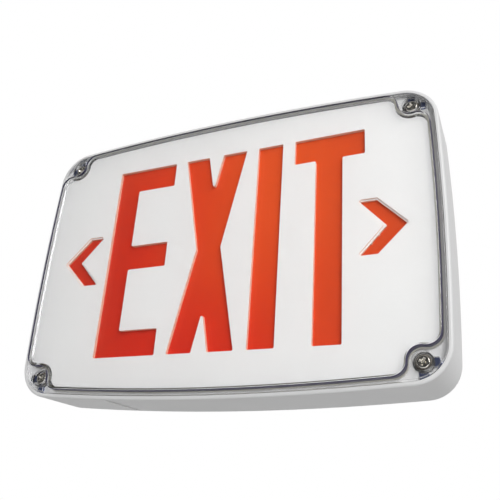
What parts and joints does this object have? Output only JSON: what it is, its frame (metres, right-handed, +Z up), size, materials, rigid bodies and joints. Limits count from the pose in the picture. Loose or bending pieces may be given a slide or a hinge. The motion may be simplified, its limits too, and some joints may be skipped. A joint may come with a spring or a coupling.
{
  "type": "emergency exit light",
  "caption": "Wall-mounted exit sign: shallow rounded housing, bowed clear screwed cover, white stencil face with a red EXIT legend and side chevrons, test button on one side.",
  "frame": {"origin": "centre of the flat back face, on the wall plane", "axes": "+Z up, +X to the right seen from the front, the legend faces -Y, the wall is on the +Y side"},
  "size_m": [0.3154, 0.0535, 0.2162],
  "materials": {
    "rear_housing": "fine satin, light grey-white",
    "clear_cover": "clear polycarbonate, polished",
    "cover_gasket": "soft black rubber",
    "legend_panel": "smooth white",
    "red_diffuser": "translucent red sheet",
    "light_tray": "white reflector",
    "led_board_top": "white solder mask on aluminium",
    "led_board_bottom": "white solder mask on aluminium",
    "leds_top": "small emitters",
    "leds_bottom": "small emitters",
    "strip_rivets": "push rivets",
    "tray_screws": "plated steel",
    "driver_board": "green solder mask",
    "board_screws": "plated steel",
    "transformer_core": "ferrite",
    "transformer_coil": "yellow tape",
    "terminal_block": "green moulding",
    "capacitors": "dark sleeve",
    "board_chips": "black epoxy",
    "battery_pack": "blue shrink sleeve",
    "battery_strap": "plated strip",
    "strap_screws": "plated steel",
    "cover_screws": "stainless steel",
    "screw_washers": "dark grey sealing washer",
    "threaded_inserts": "turned brass",
    "test_button": "red moulding",
    "button_spring": "spring steel",
    "button_seal": "black rubber",
    "switch_plunger": "white moulding",
    "test_switch": "black moulding",
    "status_lamp": "green lens",
    "wall_gasket": "closed-cell foam",
    "conduit_plug": "satin, light grey-white",
    "plug_ring": "black rubber",
    "plug_nut": "moulded nut"
  },
  "bodies": {
    "sign": {"rear_housing": "rear_housing", "clear_cover": "clear_cover", "cover_gasket": "cover_gasket", "legend_panel": "legend_panel", "red_diffuser": "red_diffuser", "light_tray": "light_tray", "led_board_top": "led_board_top", "led_board_bottom": "led_board_bottom", "leds_top": "leds_top", "leds_bottom": "leds_bottom", "strip_rivets": "strip_rivets", "tray_screws": "tray_screws", "driver_board": "driver_board", "board_screws": "board_screws", "transformer_core": "transformer_core", "transformer_coil": "transformer_coil", "terminal_block": "terminal_block", "capacitors": "capacitors", "board_chips": "board_chips", "battery_pack": "battery_pack", "battery_strap": "battery_strap", "strap_screws": "strap_screws", "cover_screws": "cover_screws", "screw_washers": "screw_washers", "threaded_inserts": "threaded_inserts", "button_seal": "button_seal", "test_switch": "test_switch", "status_lamp": "status_lamp", "wall_gasket": "wall_gasket", "conduit_plug": "conduit_plug", "plug_ring": "plug_ring", "plug_nut": "plug_nut"},
    "button": {"test_button": "test_button", "button_spring": "button_spring", "switch_plunger": "switch_plunger"}
  },
  "joints": [
    {"name": "test_button", "type": "slide", "parent": "sign", "child": "button", "axis": [1, 0, 0], "range_m": [0, 0.0015], "stiffness_N_per_m": 400}
  ]
}
